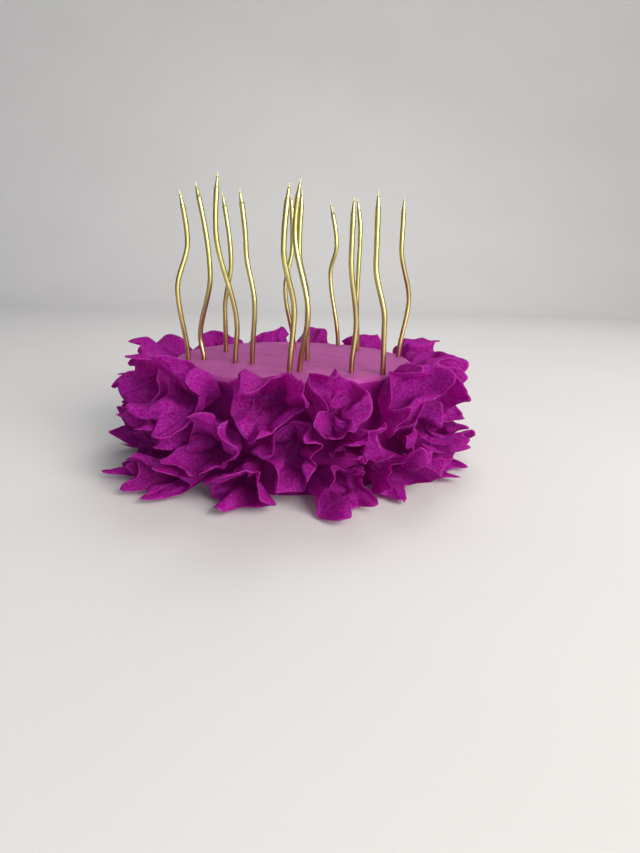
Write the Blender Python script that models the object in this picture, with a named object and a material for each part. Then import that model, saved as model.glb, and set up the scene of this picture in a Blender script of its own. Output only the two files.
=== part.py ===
"""Birthday cake: a round iced cake, a ruffle of pinched paper squares round its side, wavy candles.

Metres, +Z up. The origin is the middle of the cake's flat underside, and -Y is the front.
Run it with blender --background --python part.py, or from Blender's text editor.
"""

import math

import bmesh
import bpy
import numpy as np
from mathutils.bvhtree import BVHTree

# Cake
CAKE_RADIUS = 0.080
CAKE_HEIGHT = 0.067
CAKE_EDGE = 0.004  # rounding of the top edge
CAKE_UNEVEN = 0.0004  # how far the icing wanders from a true circle
CAKE_SIDES = 56
EDGE_RINGS = 3

# Candles
CANDLE_RADIUS = 0.0016
CANDLE_SUNK = 0.025  # pushed this far into the cake
CANDLE_POINT = 0.006  # length of the cone at the tip
WICK_RADIUS = 0.0004
WICK_LENGTH = 0.0025
CANDLE_RINGS = 9  # along the part above the icing
CANDLE_TURN = 0.6  # how far, in radians, the wavy rods are turned about their own lines
HOLE_RADIUS = 0.0021
HOLE_SIDES = 8
HOLE_SPARE = 0.0004
# Where each candle stands, its height above the icing, its sideways swing at the tip, then the
# height and swing of its upper bend and of its lower bend, all in millimetres
CANDLES_MM = [
    (-68.5, -12.0, 103, -1.0, 74, 2.5, 44, -4.5),
    (-58.5, -11.0, 108, -1.5, 54, 6.5, 14, -2.0),
    (-37.0, -21.0, 112, -7.5, 81, -9.5, 22, 1.5),
    (-48.0, 24.0, 106, 0.0, 62, 5.0, 29, 0.0),
    (-26.0, -23.5, 104, -6.5, 70, -3.0, 36, 2.0),
    (-2.0, -61.5, 103, -0.5, 69, -3.5, 36, 2.5),
    (4.0, -48.5, 107, -0.5, 79, -3.5, 34, 4.5),
    (0.5, 40.5, 107, -2.5, 74, -1.5, 43, -6.5),
    (9.5, -7.5, 105, -4.5, 70, -6.0, 39, -0.5),
    (35.5, 66.5, 106, -8.5, 74, -3.0, 55, -7.0),
    (35.0, -50.0, 98, -2.0, 65, -2.5, 28, 2.0),
    (48.0, 38.0, 106, -4.0, 82, -1.0, 37, -1.5),
    (53.5, -53.5, 101, -7.5, 63, -7.0, 30, -0.5),
    (74.5, 12.0, 105, -2.5, 74, -2.5, 38, 5.5),
]

# Ruffle
ROWS = ("low", "middle", "top")
PETALS_A_ROW = 14
ROW_HEIGHTS = (0.012, 0.032, 0.051)  # of the pinched middles
ROW_TILTS = (-4.0, 2.0, 8.0)  # degrees above level, before each petal's own
TOP_TURNS_BACK = 5.0  # the top row stands this much steeper in front, and flatter behind
AROUND_SHIFT = 0.2  # share of the step between petals that one may be off its even place
HEIGHT_SHIFT = 0.003  # and how far it may be off its row's height
PINCH_GAP = 0.0008  # from the icing to a pinched middle
REACH = 0.026  # from a pinched middle to the middle of the room that its petal has
REACH_SHIFT = (-0.003, 0.005)
HALF_SQUARE = (0.032, 0.037)  # half the side of a paper square, shortest and longest
LOW_ROW_LARGER = 0.002
OFF_CENTRE = 0.006  # how far from the middle of its square a petal may be pinched
PAPER = 0.0005  # thickness
ROOM_GAP = 0.0020  # left between the rooms of two petals
FLOOR_GAP = 0.0009
CEILING = 0.081  # the top of the rooms of the top row
WIDEST = 0.028  # furthest that a petal opens from its own middle line
OPENNESS = (0.79, 0.85)  # share of its room's width that a petal opens to, between its folds
FOLD_DEPTH = (0.17, 0.24)  # how much of that share a fold takes away
SHARE_LIMITS = (0.3, 0.985)  # least and most of its room's width that a petal takes
CRISP = 0.9  # 0 makes the folds round waves, 1 makes them sharp pleats
FOLDS_GROW = 0.014  # distance from the pinch at which the folds are at their full depth
ROOT_SHARE = 0.9  # share of the room's width that the paper would take at the pinch itself
LEAN = 12.0  # degrees that a petal leans up or down of its row
ASIDE = 18.0  # and to either side
FOLDS = np.arange(2, 6)  # folds round the middle line that are added up
MAIN_FOLDS = (2, 3, 4)  # one of these leads
OTHER_FOLDS = 0.28  # most depth of the others, as a share of the leading one's
LEVELLING = 5  # how sharply the paper turns from flaring out to running along its middle line
TAKEN_SIDEWAYS = 0.98  # shares of the paper's length that its pleats leave
TAKEN_ALONG = 0.93
RUFFLE_SEED = 77
SHEET_ANGLES = 20
SHEET_STEPS = (0.3, 0.65, 1.0)  # rings of points from the pinch to the edge

# Turns that crumple the ruffle: each turns what is inside a ball, most at its centre
TURNS = 100
TURN_ANGLE = 1.7  # the largest
LEAST_TURN = 0.6  # the smallest, as a share of it
TURN_BALL = (0.020, 0.034)
TURN_SEED = 101
TURN_TOP = 0.064  # highest centre of a ball
TURN_GAP = (0.0005, 0.010)  # from the icing to a ball
CALMING = 0.8  # a turn that makes paper cross is cut to this share, again and again
EASING = 0.92  # and so are the folds of a petal that crosses itself
CALMING_ROUNDS = 40

UP = np.array([0.0, 0.0, 1.0])


def material(name, colour, roughness, metallic=0.0):
    """A plain material with its colour in linear light."""
    made = bpy.data.materials.new(name)
    made.use_nodes = True
    shader = made.node_tree.nodes["Principled BSDF"]
    shader.inputs["Base Color"].default_value = (*colour, 1.0)
    shader.inputs["Roughness"].default_value = roughness
    shader.inputs["Metallic"].default_value = metallic
    made.diffuse_color = (*colour, 1.0)
    return made


def mesh_object(name, points, faces, surface):
    """A smooth-shaded object from points and faces."""
    mesh = bpy.data.meshes.new(name)
    mesh.from_pydata([tuple(point) for point in points], [], [tuple(face) for face in faces])
    mesh.shade_smooth()
    mesh.set_sharp_from_angle(angle=math.radians(40))
    mesh.materials.append(surface)
    made = bpy.data.objects.new(name, mesh)
    bpy.context.scene.collection.objects.link(made)
    return made


def unit(vector):
    return vector / np.linalg.norm(vector)


# Cake


def cake_profile():
    """Radius and height from the underside's rim up, round the top edge, to the flat top's rim."""
    corner = CAKE_RADIUS - CAKE_EDGE
    turns = [math.pi / 2 * ring / EDGE_RINGS for ring in range(EDGE_RINGS + 1)]
    edge = [
        (corner + CAKE_EDGE * math.cos(turn), CAKE_HEIGHT - CAKE_EDGE + CAKE_EDGE * math.sin(turn))
        for turn in turns
    ]
    return [(CAKE_RADIUS, 0.0), *edge]


def iced_cake(surface):
    """The cake: a drum with a rounded top edge, a little uneven all round."""
    shape = bmesh.new()
    rings = []
    for radius, height in cake_profile():
        ring = []
        for side in range(CAKE_SIDES):
            angle = 2 * math.pi * side / CAKE_SIDES
            wander = CAKE_UNEVEN * (math.sin(3 * angle + 1) + math.sin(7 * angle + 40 * height))
            here = radius + wander
            ring.append(shape.verts.new((here * math.cos(angle), here * math.sin(angle), height)))
        rings.append(ring)
    for lower, upper in zip(rings, rings[1:]):
        for side in range(CAKE_SIDES):
            after = (side + 1) % CAKE_SIDES
            shape.faces.new((lower[side], lower[after], upper[after], upper[side]))
    shape.faces.new(rings[0][::-1])
    shape.faces.new(rings[-1])
    mesh = bpy.data.meshes.new("cake")
    shape.to_mesh(mesh)
    shape.free()
    mesh.shade_smooth()
    mesh.set_sharp_from_angle(angle=math.radians(40))
    mesh.materials.append(surface)
    cake = bpy.data.objects.new("cake", mesh)
    bpy.context.scene.collection.objects.link(cake)
    return cake


def drill_candle_holes(cake):
    """Cuts one blind hole in the top for each candle."""
    shape = bmesh.new()
    depth = CANDLE_SUNK + HOLE_SPARE
    for x, y, *_ in CANDLES_MM:
        drill = bmesh.ops.create_cone(
            shape, cap_ends=True, segments=HOLE_SIDES, radius1=HOLE_RADIUS, radius2=HOLE_RADIUS,
            depth=2 * depth,
        )
        bmesh.ops.translate(shape, verts=drill["verts"], vec=(x / 1000, y / 1000, CAKE_HEIGHT))
    mesh = bpy.data.meshes.new("candle_drills")
    shape.to_mesh(mesh)
    shape.free()
    drills = bpy.data.objects.new("candle_drills", mesh)
    bpy.context.scene.collection.objects.link(drills)
    drills.hide_render = True
    drills.display_type = "WIRE"
    cut = cake.modifiers.new("candle_holes", "BOOLEAN")
    cut.operation = "DIFFERENCE"
    cut.solver = "EXACT"
    cut.object = drills


# Candles


def swing(height, bends):
    """Sideways place of a candle's middle line at a height: eased from one bend to the next.

    The rod leaves the icing upright, is at rest at each bend and runs almost straight to its tip.
    """
    for (low, start), (high, end) in zip(bends, bends[1:]):
        if height <= high:
            share = max(0.0, (height - low) / (high - low))
            if high == bends[-1][0]:
                return start + (end - start) * (1.5 * share**2 - 0.5 * share**3)
            return start + (end - start) * (3 * share**2 - 2 * share**3)
    return bends[-1][1]


def candle(number, x, y, tip, tip_swing, upper, upper_swing, lower, lower_swing, surface):
    """One candle: a round rod in a gentle wave, sharpened to a cone that ends in a short wick."""
    bends = [(0, 0), (lower, lower_swing), (upper, upper_swing), (tip, tip_swing)]
    turn = CANDLE_TURN * math.sin(2.4 * number)
    wick_foot = tip - 1000 * WICK_LENGTH
    cone_foot = wick_foot - 1000 * CANDLE_POINT
    heights = [cone_foot * ring / CANDLE_RINGS for ring in range(CANDLE_RINGS + 1)]
    stations = [(-1000 * CANDLE_SUNK, CANDLE_RADIUS)]
    stations += [(height, CANDLE_RADIUS) for height in heights]
    stations += [(wick_foot, WICK_RADIUS), (tip, WICK_RADIUS)]
    curve = bpy.data.curves.new(f"candle_{number:02d}", "CURVE")
    curve.dimensions = "3D"
    curve.bevel_depth = CANDLE_RADIUS
    curve.bevel_resolution = 2
    curve.use_fill_caps = True
    line = curve.splines.new("POLY")
    line.points.add(len(stations) - 1)
    for point, (height, radius) in zip(line.points, stations):
        aside = swing(height, bends)
        place = (x + aside, y + aside * math.tan(turn), 1000 * CAKE_HEIGHT + height)
        point.co = (*(value / 1000 for value in place), 1.0)
        point.radius = radius / CANDLE_RADIUS
    line.use_smooth = True
    curve.materials.append(surface)
    made = bpy.data.objects.new(f"candle_{number:02d}", curve)
    bpy.context.scene.collection.objects.link(made)
    return made


# Ruffle


class Petal:
    """One square of paper, pinched near its middle: where it is, how it opens and how it folds."""

    def __init__(self, draw, row, place):
        step = 2 * math.pi / PETALS_A_ROW
        around = (place + 0.5 * (row % 2) + draw.uniform(-AROUND_SHIFT, AROUND_SHIFT)) * step
        back = math.sin(around) if ROWS[row] == "top" else 0.0
        height = ROW_HEIGHTS[row] + draw.uniform(-HEIGHT_SHIFT, HEIGHT_SHIFT)
        rise = math.radians(ROW_TILTS[row] + draw.uniform(-LEAN, LEAN) - TOP_TURNS_BACK * back)
        aside = math.radians(draw.uniform(-ASIDE, ASIDE))
        self.name = f"petal_{ROWS[row]}_{place + 1:02d}"
        self.out = np.array([math.cos(around), math.sin(around), 0.0])
        along = np.array([-math.sin(around), math.cos(around), 0.0])
        level = self.out * math.cos(aside) + along * math.sin(aside)
        self.pinch = self.out * (CAKE_RADIUS + PINCH_GAP) + UP * height
        self.axis = unit(level * math.cos(rise) + UP * math.sin(rise))
        self.across = unit(np.cross(UP, self.axis))
        self.upward = np.cross(self.axis, self.across)
        self.middle = self.pinch + self.axis * (REACH + draw.uniform(*REACH_SHIFT))
        self.half = draw.uniform(*HALF_SQUARE) + (LOW_ROW_LARGER if ROWS[row] == "low" else 0.0)
        self.off_centre = draw.uniform(-OFF_CENTRE, OFF_CENTRE, 2)
        self.spin = draw.uniform(0, math.pi / 2)
        self.openness = draw.uniform(*OPENNESS)
        main_fold = draw.choice(MAIN_FOLDS)
        shares = OTHER_FOLDS * draw.uniform(0.2, 1.0, len(FOLDS))
        shares[FOLDS == main_fold] = 1.0
        self.folds = shares * draw.uniform(*FOLD_DEPTH)
        self.phases = draw.uniform(0, 2 * math.pi, len(FOLDS))


def room_walls(petals, number):
    """Planes round one petal's own room: normals and offsets of the half-spaces that it keeps to.

    They lie midway to its neighbours, at the icing, at the surface that the cake stands on and at
    the ruffle's top.
    """
    petal = petals[number]
    middles = np.array([other.middle for other in petals])
    nearest = np.argsort(np.linalg.norm(middles - petal.middle, axis=1))[1:16]
    normals = [unit(middles[other] - petal.middle) for other in nearest]
    halfway = [(middles[other] + petal.middle) / 2 for other in nearest]
    offsets = [normal @ point - ROOM_GAP / 2 for normal, point in zip(normals, halfway)]
    normals += [-petal.out, -UP, UP]
    offsets += [-(CAKE_RADIUS + 0.75 * PINCH_GAP), -FLOOR_GAP, CEILING]
    return np.array(normals), np.array(offsets)


def room_width(walls, points, directions):
    """How far the room reaches from each point in its direction."""
    normals, offsets = walls
    spare = offsets - points @ normals.T
    slope = directions @ normals.T
    reach = np.where(slope > 1e-6, spare / np.maximum(slope, 1e-6), WIDEST)
    return np.clip(reach.min(axis=-1), 1e-4, WIDEST)


def paper_reach(petal, angles):
    """Distance from the pinch to the edge of the square, whose corners are barely rounded."""
    cosines, sines = np.cos(angles), np.sin(angles)
    sideways = (petal.half - petal.off_centre[0] * np.sign(cosines)) / np.maximum(abs(cosines), 1e-6)
    lengthwise = (petal.half - petal.off_centre[1] * np.sign(sines)) / np.maximum(abs(sines), 1e-6)
    return (sideways**-8 + lengthwise**-8) ** (-1 / 8)


def sheet_points(petal, walls, angles, steps):
    """The folded square before it is crumpled: an array of steps by angles by 3.

    A point at distance s from the pinch moves out along the petal's axis by d and away from the
    axis by t. t follows s, then levels off at a share q of the room's width, so that d takes up
    what is left of s. The share q varies round the axis as a sum of waves, which are the folds.
    """
    angle, step = np.meshgrid(angles, steps)
    along = step * paper_reach(petal, angle)
    heading = (angle + petal.spin)[..., None]
    direction = np.cos(heading) * petal.across + np.sin(heading) * petal.upward
    waves = np.arcsin(CRISP * np.sin(angle[..., None] * FOLDS + petal.phases)) / math.asin(CRISP)
    share = petal.openness + (petal.folds * waves).sum(axis=-1)
    grown = np.clip(along / FOLDS_GROW, 0.0, 1.0)
    share = ROOT_SHARE + (np.clip(share, *SHARE_LIMITS) - ROOT_SHARE) * grown * (2 - grown)
    deep = 0.55 * along
    for _ in range(4):
        width = room_width(walls, petal.pinch + deep[..., None] * petal.axis, direction)
        limit = np.maximum(width * share, 1e-5)
        flared = (1 + (along / limit) ** LEVELLING) ** (1 / LEVELLING)
        wide = np.minimum(TAKEN_SIDEWAYS * along / flared, SHARE_LIMITS[1] * width)
        left = np.maximum(1 - (wide / np.maximum(along, 1e-6)) ** 2, 0.08)
        deep = TAKEN_ALONG * along * np.sqrt(left)
    return petal.pinch + deep[..., None] * petal.axis + wide[..., None] * direction


def random_turns():
    """Balls beside the cake, each with an axis through its centre and an angle to turn by."""
    draw = np.random.default_rng(TURN_SEED)
    turns = []
    for _ in range(TURNS):
        around = draw.uniform(0, 2 * math.pi)
        radius = draw.uniform(*TURN_BALL)
        out = np.array([math.cos(around), math.sin(around), 0.0])
        distance = CAKE_RADIUS + radius + draw.uniform(*TURN_GAP)
        centre = out * distance + UP * draw.uniform(radius + 0.001, TURN_TOP)
        axis = draw.normal(size=3)
        axis = unit(axis - 0.6 * (axis @ out) * out)
        angle = draw.uniform(LEAST_TURN, 1.0) * TURN_ANGLE * draw.choice([-1, 1])
        turns.append((centre, radius, axis, angle))
    return turns


def crumpled(points, turns):
    """Moves points by the turns, one after the other.

    Inside a ball a point at share x of the radius turns by angle * (1 - x * x)**2, which fades out
    at the ball's surface, so space is never torn and sheets that are apart stay apart.
    """
    moved = points.reshape(-1, 3).copy()
    for centre, radius, axis, angle in turns:
        arms = moved - centre
        shares = np.linalg.norm(arms, axis=1) / radius
        inside = shares < 1
        arms = arms[inside]
        turn = (angle * (1 - shares[inside] ** 2) ** 2)[:, None]
        kept = axis * (arms @ axis)[:, None] * (1 - np.cos(turn))
        moved[inside] = centre + arms * np.cos(turn) + np.cross(axis, arms) * np.sin(turn) + kept
    return moved.reshape(points.shape)


def sheet_faces(rings, sides):
    """Triangles of one face of a sheet: point 0 is the pinch, then come the rings."""
    index = 1 + np.arange(rings * sides).reshape(rings, sides)
    after = np.roll(index, -1, axis=1)
    pinch = np.zeros(sides, int)
    faces = [np.stack([pinch, index[0], after[0]], axis=-1)]
    for inner in range(rings - 1):
        outer = inner + 1
        faces.append(np.stack([index[inner], index[outer], after[outer]], axis=-1))
        faces.append(np.stack([index[inner], after[outer], after[inner]], axis=-1))
    return np.concatenate(faces), index[-1]


def thick_sheet(points, faces, rim):
    """A closed solid: the sheet's points moved half the paper's thickness to each side."""
    edge_1 = points[faces[:, 1]] - points[faces[:, 0]]
    edge_2 = points[faces[:, 2]] - points[faces[:, 0]]
    face_normals = np.cross(edge_1, edge_2)
    face_normals /= np.linalg.norm(face_normals, axis=1, keepdims=True) + 1e-12
    normals = np.zeros_like(points)
    for corner in range(3):
        np.add.at(normals, faces[:, corner], face_normals)
    normals /= np.linalg.norm(normals, axis=1, keepdims=True) + 1e-12
    solid = np.concatenate([points + normals * PAPER / 2, points - normals * PAPER / 2])
    count = len(points)
    after = np.roll(rim, -1)
    all_faces = np.concatenate([
        faces,
        faces[:, ::-1] + count,
        np.stack([rim, rim + count, after + count], axis=-1),
        np.stack([rim, after + count, after], axis=-1),
    ])
    return solid, all_faces


def crossings(solids, faces):
    """Where solids cut through each other or through themselves.

    Gives one point for each cut, and the numbers of the solids that cut through themselves.
    """
    corners = [tuple(int(corner) for corner in face) for face in faces]
    trees = [BVHTree.FromPolygons([tuple(point) for point in solid], corners) for solid in solids]
    lows = [solid.min(axis=0) for solid in solids]
    highs = [solid.max(axis=0) for solid in solids]
    places = []
    self_cut = set()
    for one in range(len(solids)):
        pairs = trees[one].overlap(trees[one])
        hits = [a for a, b in pairs if a < b and not set(corners[a]) & set(corners[b])]
        if hits:
            self_cut.add(one)
        for other in range(one + 1, len(solids)):
            if (lows[one] < highs[other]).all() and (lows[other] < highs[one]).all():
                hits += [a for a, b in trees[one].overlap(trees[other])]
        places += [solids[one][faces[hit]].mean(axis=0) for hit in hits]
    return np.array(places).reshape(-1, 3), self_cut


def ruffle_sheets():
    """The petals and their crumpled solids, calmed until no paper cuts through paper."""
    draw = np.random.default_rng(RUFFLE_SEED)
    petals = [Petal(draw, row, place) for row in range(len(ROWS)) for place in range(PETALS_A_ROW)]
    angles = math.pi / 4 + 2 * math.pi * np.arange(SHEET_ANGLES) / SHEET_ANGLES
    faces, rim = sheet_faces(len(SHEET_STEPS), SHEET_ANGLES)
    walls = [room_walls(petals, number) for number in range(len(petals))]
    turns = random_turns()
    for _ in range(CALMING_ROUNDS):
        solids = []
        for petal, room in zip(petals, walls):
            rings = sheet_points(petal, room, angles, SHEET_STEPS).reshape(-1, 3)
            sheet = crumpled(np.concatenate([petal.pinch[None], rings]), turns)
            solids.append(thick_sheet(sheet, faces, rim))
        places, self_cut = crossings([points for points, _ in solids], solids[0][1])
        if not len(places):
            break
        for number in self_cut:
            petals[number].folds *= EASING
        for number, (centre, radius, axis, angle) in enumerate(turns):
            if (np.linalg.norm(places - centre, axis=1) < 0.9 * radius).any():
                turns[number] = (centre, radius, axis, CALMING * angle)
    return petals, solids, turns


def main():
    for leftover in list(bpy.data.objects):
        bpy.data.objects.remove(leftover)
    icing = material("buttercream", (0.40, 0.095, 0.30), 0.65)
    paper = material("wafer_paper", (0.35, 0.015, 0.28), 0.6)
    gold = material("gold_wax", (0.72, 0.52, 0.20), 0.3, metallic=1.0)
    cake = iced_cake(icing)
    drill_candle_holes(cake)
    for number, row in enumerate(CANDLES_MM, start=1):
        candle(number, *row, gold)
    petals, solids, _ = ruffle_sheets()
    for petal, (points, faces) in zip(petals, solids):
        mesh_object(petal.name, points, faces, paper)


if __name__ == "__main__":
    main()
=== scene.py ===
# %% [markdown]
# # A birthday cake with a paper ruffle and golden candles
#
# The real thing is a small round cake in pink-violet buttercream. Its side hides under a ruffle of
# dyed wafer-paper squares, each pinched near its middle and pressed into the icing, and fourteen
# wavy golden candles stand in its top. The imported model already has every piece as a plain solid,
# so this lesson keeps its places and sizes and works on what the eye sees: thin folded paper with
# light in it, golden lacquer, and icing with the marks of the palette knife.

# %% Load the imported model, which gives the frame and the size to keep
import math

import bpy
import numpy as np
from mathutils import Matrix, Vector
from mathutils.bvhtree import BVHTree
from mathutils.geometry import delaunay_2d_cdt


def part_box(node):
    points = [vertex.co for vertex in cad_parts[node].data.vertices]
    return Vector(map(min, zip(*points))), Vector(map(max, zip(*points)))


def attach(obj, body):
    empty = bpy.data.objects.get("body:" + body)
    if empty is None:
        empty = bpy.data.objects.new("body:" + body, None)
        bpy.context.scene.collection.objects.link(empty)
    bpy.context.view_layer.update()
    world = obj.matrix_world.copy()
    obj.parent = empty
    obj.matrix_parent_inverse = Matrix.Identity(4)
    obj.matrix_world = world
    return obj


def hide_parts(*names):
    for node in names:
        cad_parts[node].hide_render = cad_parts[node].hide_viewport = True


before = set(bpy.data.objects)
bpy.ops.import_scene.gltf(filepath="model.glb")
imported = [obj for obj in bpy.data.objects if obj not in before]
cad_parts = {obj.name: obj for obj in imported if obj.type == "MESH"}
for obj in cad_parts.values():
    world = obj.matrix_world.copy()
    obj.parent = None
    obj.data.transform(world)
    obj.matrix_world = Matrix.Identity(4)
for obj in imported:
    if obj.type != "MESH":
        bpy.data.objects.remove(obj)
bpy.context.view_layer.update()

# %% [markdown]
# ## Camera
#
# A picture is easier to judge when it is taken from where the photographer stood. The outlines in
# the photograph gave that place: 386 mm in front of the cake's middle and 131 mm above the surface
# it rests on, looking 16 degrees down. The lens is a phone's wide one. Blender takes a camera as a
# matrix whose columns are its right, its up and the direction behind it.

# %% Camera
CAMERA_AWAY = 0.3856
CAMERA_HEIGHT = 0.1312
LOOKS_DOWN = 0.2849  # radians
LOOKS_RIGHT = 0.0505
ROLLS = 0.0224
LENS_MM = 24.0
SENSOR_MM = 36.0

ahead = Vector((
    math.sin(LOOKS_RIGHT) * math.cos(LOOKS_DOWN),
    math.cos(LOOKS_RIGHT) * math.cos(LOOKS_DOWN),
    -math.sin(LOOKS_DOWN),
))
level_right = Vector((math.cos(LOOKS_RIGHT), -math.sin(LOOKS_RIGHT), 0))
level_up = level_right.cross(ahead)
right = math.cos(ROLLS) * level_right + math.sin(ROLLS) * level_up
up = math.cos(ROLLS) * level_up - math.sin(ROLLS) * level_right
camera = bpy.data.objects.new("camera", bpy.data.cameras.new("camera"))
camera.data.lens = LENS_MM
camera.data.sensor_width = SENSOR_MM
camera.data.clip_start = 0.01
turned = Matrix((right, up, -ahead)).transposed().to_4x4()
camera.matrix_world = Matrix.Translation((0, -CAMERA_AWAY, CAMERA_HEIGHT)) @ turned
bpy.context.scene.collection.objects.link(camera)
bpy.context.scene.camera = camera
print("camera", [round(1000 * value) for value in camera.location], "mm")

# %% [markdown]
# ## Colours and nodes
#
# Colours are picked as the hex values a paint program shows. Those are sRGB, while Blender's
# shaders add up light, so one function turns each value to linear light. One more small function
# adds a shader node with its settings, and plugs in whatever feeds it.


# %% Two helpers for materials
def linear(hex_colour):
    """sRGB hex to linear RGBA: value/12.92 near black, else ((value + 0.055) / 1.055) ** 2.4."""
    values = [int(hex_colour[place:place + 2], 16) / 255 for place in (1, 3, 5)]
    return (*[v / 12.92 if v <= 0.04045 else ((v + 0.055) / 1.055) ** 2.4 for v in values], 1.0)


def add_node(tree, kind, inputs=None, **settings):
    """Adds a node with its settings. An input is given a value, or the socket that feeds it."""
    node = tree.nodes.new(kind)
    for name, value in settings.items():
        setattr(node, name, value)
    for name, value in (inputs or {}).items():
        if isinstance(value, bpy.types.NodeSocket):
            tree.links.new(value, node.inputs[name])
        else:
            node.inputs[name].default_value = value
    return node


def new_material(name):
    """An empty material: its node tree and its output node."""
    made = bpy.data.materials.new(name)
    made.use_nodes = True
    made.node_tree.nodes.clear()
    return made, made.node_tree, add_node(made.node_tree, "ShaderNodeOutputMaterial")


print("middle grey in linear light:", [round(value, 3) for value in linear("#808080")])

# %% [markdown]
# ## Wafer paper
#
# Wafer paper is a sheet of potato starch less than half a millimetre thick, softened, dyed and
# left to dry. The starch gives a matt face with a fine cloudy mottle where the dye sank in
# unevenly, in spots of about a millimetre, and slow drifts of colour some two centimetres wide. It
# lets light through, so folds glow a purer magenta. Its cut edge is painted paler, a painted
# highlight for the light that the thin edge catches. A Principled shader for the face is mixed
# with a Translucent one for the light that comes through.
# The edge is found by a UV map whose first coordinate runs from the pinch to the edge.
# The faintest crumples come from a Voronoi pattern: its distance to the nearest of many scattered
# points is a field of cones, which meet along straight lines as the faces of crumpled paper do.

# %% Wafer paper material
MOTTLE_MM = 1.1
DRIFT_MM = 24.0
CRINKLE_MM = 9.0
PAPER_GLOW = 0.6  # share of the light that goes into the sheet instead of off it

paper, tree, output = new_material("dyed_wafer_paper")
place = add_node(tree, "ShaderNodeTexCoord").outputs["Object"]
mottle = add_node(tree, "ShaderNodeTexNoise",
                  {"Vector": place, "Scale": 1000 / MOTTLE_MM, "Detail": 3.0, "Roughness": 0.6})
spots = add_node(tree, "ShaderNodeMapRange",
                 {"Value": mottle.outputs["Fac"], "From Min": 0.44, "From Max": 0.6})
drift = add_node(tree, "ShaderNodeTexNoise",
                 {"Vector": place, "Scale": 1000 / DRIFT_MM, "Detail": 1.0})
drifts = add_node(tree, "ShaderNodeMapRange",
                  {"Value": drift.outputs["Fac"], "From Min": 0.36, "From Max": 0.64})
dye = add_node(tree, "ShaderNodeMix",
               {0: drifts.outputs[0], 6: linear("#9c0284"), 7: linear("#a00698")},
               data_type="RGBA")
spotted = add_node(tree, "ShaderNodeMix",
                   {0: spots.outputs[0], 6: dye.outputs[2], 7: linear("#b440ae")},
                   data_type="RGBA")
rim = add_node(tree, "ShaderNodeSeparateXYZ",
               {0: add_node(tree, "ShaderNodeUVMap", uv_map="sheet").outputs[0]})
# Painted highlight: near the cut edge the colour is mixed up to a fifth of the way to pale lilac, for
# the light that the edge catches
edge = add_node(tree, "ShaderNodeMapRange",
                {"Value": rim.outputs["X"], "From Min": 0.975, "From Max": 0.995, "To Max": 0.2})
face_colour = add_node(tree, "ShaderNodeMix",
                       {0: edge.outputs[0], 6: spotted.outputs[2], 7: linear("#c874bd")},
                       data_type="RGBA")
crinkle = add_node(tree, "ShaderNodeTexVoronoi",
                   {"Vector": place, "Scale": 1000 / CRINKLE_MM, "Detail": 1.0, "Roughness": 0.4})
crumpled_bump = add_node(tree, "ShaderNodeBump", {"Height": crinkle.outputs["Distance"],
                                                  "Strength": 0.6, "Distance": 0.0014})
bump = add_node(tree, "ShaderNodeBump",
                {"Height": mottle.outputs["Fac"], "Strength": 0.5, "Distance": 0.00015,
                 "Normal": crumpled_bump.outputs[0]})
face = add_node(tree, "ShaderNodeBsdfPrincipled",
                {"Base Color": face_colour.outputs[2], "Roughness": 0.62, "IOR": 1.45,
                 "Specular IOR Level": 0.06, "Normal": bump.outputs[0]})
glow = add_node(tree, "ShaderNodeBsdfTranslucent",
                {"Color": linear("#cc0eb6"), "Normal": bump.outputs[0]})
sheet_of_paper = add_node(tree, "ShaderNodeMixShader",
                          {0: PAPER_GLOW, 1: face.outputs[0], 2: glow.outputs[0]})
tree.links.new(sheet_of_paper.outputs[0], output.inputs["Surface"])
print("wafer paper:", len(tree.nodes), "nodes")

# %% [markdown]
# ## Buttercream
#
# The icing is whipped butter and sugar with violet colour. It is smooth but never quite matt: the
# fat gives a soft, wide shine, the sugar a fine grain, and the palette knife leaves shallow
# streaks. On the side, behind the paper, the cream is painted a deep purple: painted shade, for
# the deep shadow between the sheets of paper.

# %% Buttercream materials
GRAIN_MM = 1.0
CLOUD_MM = 18.0

icing, tree, output = new_material("buttercream")
place = add_node(tree, "ShaderNodeTexCoord").outputs["Object"]
cloud = add_node(tree, "ShaderNodeTexNoise",
                 {"Vector": place, "Scale": 1000 / CLOUD_MM, "Detail": 3.0, "Roughness": 0.6})
clouds = add_node(tree, "ShaderNodeMapRange",
                  {"Value": cloud.outputs["Fac"], "From Min": 0.35, "From Max": 0.65})
cream = add_node(tree, "ShaderNodeMix",
                 {0: clouds.outputs[0], 6: linear("#8a2e74"), 7: linear("#953880")},
                 data_type="RGBA")
grain = add_node(tree, "ShaderNodeTexNoise",
                 {"Vector": place, "Scale": 1000 / GRAIN_MM, "Detail": 2.0})
long_way = add_node(tree, "ShaderNodeMapping",
                    {"Vector": place, "Rotation": (0, 0, 0.35), "Scale": (30, 330, 60)})
streak = add_node(tree, "ShaderNodeTexNoise", {"Vector": long_way.outputs[0], "Scale": 1.0,
                                               "Detail": 2.0, "Distortion": 0.4})
knife_marks = add_node(tree, "ShaderNodeBump",
                       {"Height": streak.outputs["Fac"], "Strength": 0.12, "Distance": 0.0003})
bump = add_node(tree, "ShaderNodeBump",
                {"Height": grain.outputs["Fac"], "Strength": 0.35, "Distance": 0.0002,
                 "Normal": knife_marks.outputs[0]})
surface = add_node(tree, "ShaderNodeBsdfPrincipled",
                   {"Base Color": cream.outputs[2], "Roughness": 0.68, "IOR": 1.46,
                    "Specular IOR Level": 0.3, "Subsurface Weight": 0.15,
                    "Subsurface Radius": (1.0, 0.4, 0.7), "Subsurface Scale": 0.002,
                    "Normal": bump.outputs[0]})
tree.links.new(surface.outputs[0], output.inputs["Surface"])

# Painted shade: the cake's side, seen only in the gaps of the ruffle, is coloured dark purple for the
# shadow there
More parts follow.
